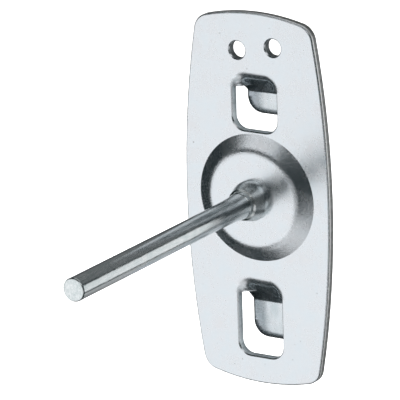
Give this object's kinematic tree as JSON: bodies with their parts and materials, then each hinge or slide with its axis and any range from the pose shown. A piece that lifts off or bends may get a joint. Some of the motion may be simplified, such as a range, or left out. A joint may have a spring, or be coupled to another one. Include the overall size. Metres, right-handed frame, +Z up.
{
  "type": "straight tool hook",
  "caption": "Bright zinc steel plate with lanced tongues that hang it in a square-hole tool board, and a straight round rod riveted through its raised boss to carry a tool.",
  "frame": {"origin": "where the rod's axis meets the face of the board that the hook hangs on, which is the plane of the plate's back face", "axes": "+Y into the board, the rod points to -Y; +Z up along the plate, as the hook hangs; +X to the right seen from the front"},
  "size_m": [0.0294, 0.0653, 0.0682],
  "materials": {
    "plate_zinc": "bright zinc plated pressed sheet, semi-gloss",
    "rod_zinc": "bright zinc plated drawn bar, semi-gloss"
  },
  "bodies": {
    "root": {"back_plate": "plate_zinc", "rod": "rod_zinc"}
  },
  "joints": []
}
